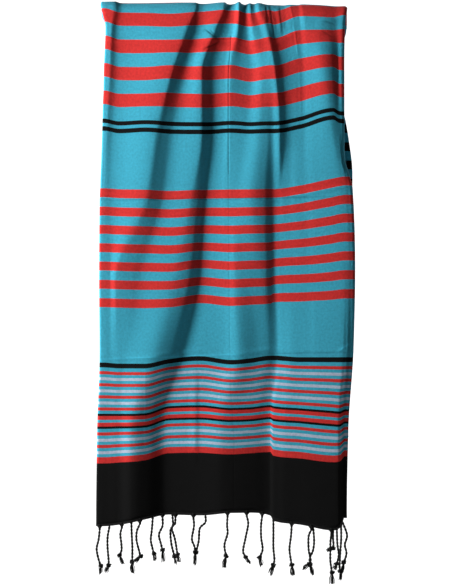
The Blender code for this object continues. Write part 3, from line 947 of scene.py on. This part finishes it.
def brush_yarns(knot, tip, rng):
    """The loose yarns under a knot, which spread a little towards their ends."""
    made = []
    for k in range(BRUSH_YARNS):
        spread = np.array([rng.gauss(0.0, 1.0) for axis in range(3)]) * BRUSH_SPREAD
        bow = np.array([rng.gauss(0.0, 1.0) for axis in range(3)]) * BRUSH_SPREAD * BRUSH_BOW
        end = tip + spread * BRUSH_SHAPE
        middle = (knot + end) / 2 + bow + spread * BRUSH_BELLY
        made.append(smooth_path([knot, middle, end], BRUSH_STEP))
    return made


def gather_yarns(hem, layer, root, start, rng):
    """The warp ends that leave the hem on both sides of a root and meet in its cord."""
    made = []
    for k in range(GATHER_YARNS):
        aside = GATHER_REACH * (2 * (k + 0.5) / GATHER_YARNS - 1)
        aside += rng.uniform(-GATHER_RAGGED, GATHER_RAGGED)
        top = hem_point(hem, layer, root[0] + aside)
        top[2] -= GATHER_LOW
        near = start + (top - start) * GATHER_BEND
        made.append(smooth_path([top, near, start - (0.0, 0.0, PATH_STEP)], PATH_STEP))
    return made


def strand_paths(hem, strands, seed):
    """Every line of yarn in a fringe, and whether it is a single fine yarn or a cord of two plies."""
    rng = random.Random(seed)
    paths = []
    for layer, root, way in strands:
        start = root - np.array((0.0, 0.0, GATHER_DROP))
        knot, tip = way[-2:]
        cord = smooth_path([root, start, *way[:-1]], PATH_STEP)
        paths += [(cord, False), (knot_loop(knot, rng), False)]
        paths += [(yarn, True) for yarn in brush_yarns(knot, tip, rng)]
        paths += [(yarn, True) for yarn in gather_yarns(hem, layer, root, start, rng)]
    return paths


def path_object(name, paths):
    """A mesh of edges alone, with a point attribute that marks the fine yarns."""
    points = []
    edges = []
    fine = []
    for path, single in paths:
        first = len(points)
        points += [tuple(point) for point in path]
        edges += [(k, k + 1) for k in range(first, len(points) - 1)]
        fine += [1.0 if single else 0.0] * len(path)
    mesh = bpy.data.meshes.new(name)
    mesh.from_pydata(points, edges, [])
    mesh.attributes.new("fine", "FLOAT", "POINT").data.foreach_set("value", fine)
    made = bpy.data.objects.new(name, mesh)
    bpy.context.scene.collection.objects.link(made)
    return made


def yarn_tree():
    """Geometry Nodes that turn lines into yarn: cords twisted of two plies, and single fine yarns."""
    tree = bpy.data.node_groups.new("yarn", "GeometryNodeTree")
    faces = tree.interface
    faces.new_socket("Geometry", in_out="INPUT", socket_type="NodeSocketGeometry")
    for name in ("Ply Radius", "Fine Radius", "Turns"):
        faces.new_socket(name, in_out="INPUT", socket_type="NodeSocketFloat")
    faces.new_socket("Material", in_out="INPUT", socket_type="NodeSocketMaterial")
    faces.new_socket("Geometry", in_out="OUTPUT", socket_type="NodeSocketGeometry")
    entry = tree.nodes.new("NodeGroupInput")
    given = {socket.name: Socket(tree, socket) for socket in entry.outputs if socket.name}
    fine = wrapped(tree, "GeometryNodeInputNamedAttribute", {"data_type": "FLOAT"}, {"Name": "fine"})
    lines = wrapped(tree, "GeometryNodeMeshToCurve", None, [given["Geometry"]])
    sorted_lines = add_node(tree, "GeometryNodeSeparateGeometry", {"domain": "CURVE"},
                            {"Geometry": lines, "Selection": fine > 0.5})
    singles = Socket(tree, sorted_lines.outputs[0])
    cords = Socket(tree, sorted_lines.outputs[1])
    even = wrapped(tree, "GeometryNodeResampleCurve", {"mode": "LENGTH"},
                   {"Curve": cords, "Length": PLY_STEP})
    length = wrapped(tree, "GeometryNodeSplineParameter", None, (), "Length")
    normal = wrapped(tree, "GeometryNodeInputNormal")
    tangent = wrapped(tree, "GeometryNodeInputTangent")
    across = wrapped(tree, "ShaderNodeVectorMath", {"operation": "CROSS_PRODUCT"}, [tangent, normal])
    ply_ring = wrapped(tree, "GeometryNodeCurvePrimitiveCircle", None,
                       {"Resolution": PLY_SIDES, "Radius": given["Ply Radius"]})
    fine_ring = wrapped(tree, "GeometryNodeCurvePrimitiveCircle", None,
                        {"Resolution": FINE_SIDES, "Radius": given["Fine Radius"]})
    joined = tree.nodes.new("GeometryNodeJoinGeometry")

    def scaled(vector, factor):
        return wrapped(tree, "ShaderNodeVectorMath", {"operation": "SCALE"},
                       {"Vector": vector, "Scale": factor})

    for phase in (0.0, math.pi):
        angle = length * given["Turns"] * (2 * math.pi) + phase
        aside = scaled(normal, angle.math("COSINE", angle) * given["Ply Radius"] * PLY_OFFSET)
        ahead = scaled(across, angle.sine() * given["Ply Radius"] * PLY_OFFSET)
        offset = wrapped(tree, "ShaderNodeVectorMath", {"operation": "ADD"}, [aside, ahead])
        ply = wrapped(tree, "GeometryNodeSetPosition", None, {"Geometry": even, "Offset": offset})
        tube = wrapped(tree, "GeometryNodeCurveToMesh", None,
                       {"Curve": ply, "Profile Curve": ply_ring, "Fill Caps": True})
        tree.links.new(tube.socket, joined.inputs[0])
    thin = wrapped(tree, "GeometryNodeCurveToMesh", None,
                   {"Curve": singles, "Profile Curve": fine_ring, "Fill Caps": True})
    tree.links.new(thin.socket, joined.inputs[0])
    smooth = wrapped(tree, "GeometryNodeSetShadeSmooth", None, [Socket(tree, joined.outputs[0])])
    real = wrapped(tree, "GeometryNodeRealizeInstances", None, [smooth])
    dyed = wrapped(tree, "GeometryNodeSetMaterial", None,
                   {"Geometry": real, "Material": given["Material"]})
    leave = tree.nodes.new("NodeGroupOutput")
    tree.links.new(dyed.socket, leave.inputs[0])
    return tree


def yarn_material():
    """Black cotton yarn with fine hairs."""
    finish = {"Base Color": BLACK, "Specular IOR Level": 0.2, "Sheen Weight": 0.08}
    made, tree, shader = new_material("black_yarn", finish)
    spot = wrapped(tree, "ShaderNodeTexCoord", None, (), "Object")
    hairs = wrapped(tree, "ShaderNodeTexNoise", None, {"Vector": spot, "Scale": 2600.0, "Detail": 3.0})
    rough = 0.75 + hairs * 0.25
    tree.links.new(rough.socket, shader.inputs["Roughness"])
    bump = add_node(tree, "ShaderNodeBump", None, {"Strength": 0.7, "Distance": 0.2 * MM, "Height": hairs})
    tree.links.new(bump.outputs[0], shader.inputs["Normal"])
    return made


def make_fringe(name, hem, strands, seed, tree, finish):
    """The strands of one end, made of lines that the yarn tree dresses."""
    fringe = path_object(name, strand_paths(hem, strands, seed))
    nodes = fringe.modifiers.new("yarn", "NODES")
    nodes.node_group = tree
    wanted = {"Ply Radius": PLY_RADIUS, "Fine Radius": FINE_RADIUS, "Turns": PLY_TURNS,
              "Material": finish}
    for item in tree.interface.items_tree:
        if item.in_out == "INPUT" and item.name in wanted:
            nodes[item.identifier] = wanted[item.name]
    return apply_modifiers(fringe)


def make_heading(name, hem, finish):
    """The narrow edge under a hem that holds the roots of its fringe."""
    points = np.array([hem + (0.0, 0.0, drop) for drop in HEADING_DROPS])
    flat = np.zeros(points.shape[:2])
    heading = grid_mesh(name, points, flat, flat)
    heading.data.materials.append(finish)
    return thicken(heading, SOLID_THICK)


def make_stage():
    """A pale floor that sweeps up into a brighter wall; it isn't part of the towel."""
    finish = {"Base Color": (STAGE_GREY, STAGE_GREY, STAGE_GREY, 1.0), "Roughness": STAGE_ROUGHNESS,
              "Emission Strength": 1.0}
    pale, tree, shader = new_material("pale_stage", finish)
    _, away, _ = parted(tree, wrapped(tree, "ShaderNodeTexCoord", None, (), "Object"))
    glow = wrapped(tree, "ShaderNodeMapRange", None,
                   [away, GLOW_START_Y, WALL_Y - SWEEP, FLOOR_GLOW, WALL_GLOW])
    tree.links.new(grey(tree, glow).socket, shader.inputs["Emission Color"])
    profile = [(-FLOOR_REACH, FLOOR_Z), (0.0, FLOOR_Z)]
    for k in range(SWEEP_STEPS + 1):
        angle = math.pi / 2 * k / SWEEP_STEPS
        y = WALL_Y - SWEEP + SWEEP * math.sin(angle)
        profile.append((y, FLOOR_Z + SWEEP * (1 - math.cos(angle))))
    profile.append((WALL_Y, WALL_TOP))
    points = np.array([[(side, *spot) for side in (-FLOOR_REACH, FLOOR_REACH)] for spot in profile])
    flat = np.zeros(points.shape[:2])
    floor = grid_mesh("floor", points, flat, flat)
    floor.data.materials.append(pale)


def make_lights():
    """Soft studio light: square lamps and a little light from all round."""
    scene = bpy.context.scene
    scene.view_settings.view_transform = "Standard"
    world = bpy.data.worlds.new("studio")
    world.use_nodes = True
    background = world.node_tree.nodes["Background"]
    background.inputs["Color"].default_value = (1.0, 1.0, 1.0, 1.0)
    background.inputs["Strength"].default_value = WORLD_LIGHT
    scene.world = world
    for name, where, aim, size, power in LAMPS:
        data = bpy.data.lights.new(name, "AREA")
        data.shape = "SQUARE"
        data.size = size
        data.energy = power
        lamp = bpy.data.objects.new(name, data)
        scene.collection.objects.link(lamp)
        lamp.location = where
        lamp.rotation_euler = (Vector(aim) - Vector(where)).to_track_quat("-Z", "Y").to_euler()


make_camera()
make_stage()
make_lights()
cloth, cloth_points = make_cloth()
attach(cloth, "root")
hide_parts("cloth")

yarn = yarn_material()
twist = yarn_tree()
front_hem = cloth_points[0]
back_hem = cloth_points[-1]
hanging_front = front_strands(front_hem)
hanging_back = back_strands(back_hem)
fringes = (
    ("fringe_front", make_fringe("front_strands", front_hem, hanging_front, FRONT_SEED, twist, yarn)),
    ("fringe_front", make_heading("front_heading", front_hem, yarn)),
    ("fringe_back", make_fringe("back_strands", back_hem, hanging_back, BACK_SEED, twist, yarn)),
    ("fringe_back", make_heading("back_heading", back_hem, yarn)),
)
for node, piece in fringes:
    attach(piece, "root")
    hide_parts(node)
